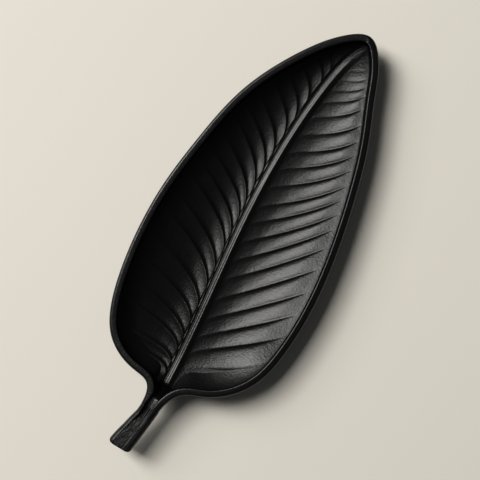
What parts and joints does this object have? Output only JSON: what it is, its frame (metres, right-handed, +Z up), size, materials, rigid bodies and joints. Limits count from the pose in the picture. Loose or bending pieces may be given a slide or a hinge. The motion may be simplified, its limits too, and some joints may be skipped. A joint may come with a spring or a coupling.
{
  "type": "leaf shaped plate",
  "caption": "Long leaf shaped plate in satin black, with a rounded lip, a raised midrib in a channel, fluted side veins and a lifted stem as a handle.",
  "frame": {"origin": "on the table, midway along the plate's length and width, below the blade", "axes": "+Y from the stem to the tip, +X to the right seen from above, +Z up from the table"},
  "size_m": [0.1229, 0.3052, 0.026],
  "materials": {
    "black_enamel": "satin black, fine sand-cast grain",
    "pad_rubber": "matt"
  },
  "bodies": {
    "root": {"leaf_dish": "black_enamel", "foot_pad_root_left": "pad_rubber", "foot_pad_root_right": "pad_rubber", "foot_pad_tip_left": "pad_rubber", "foot_pad_tip_right": "pad_rubber"}
  },
  "joints": []
}
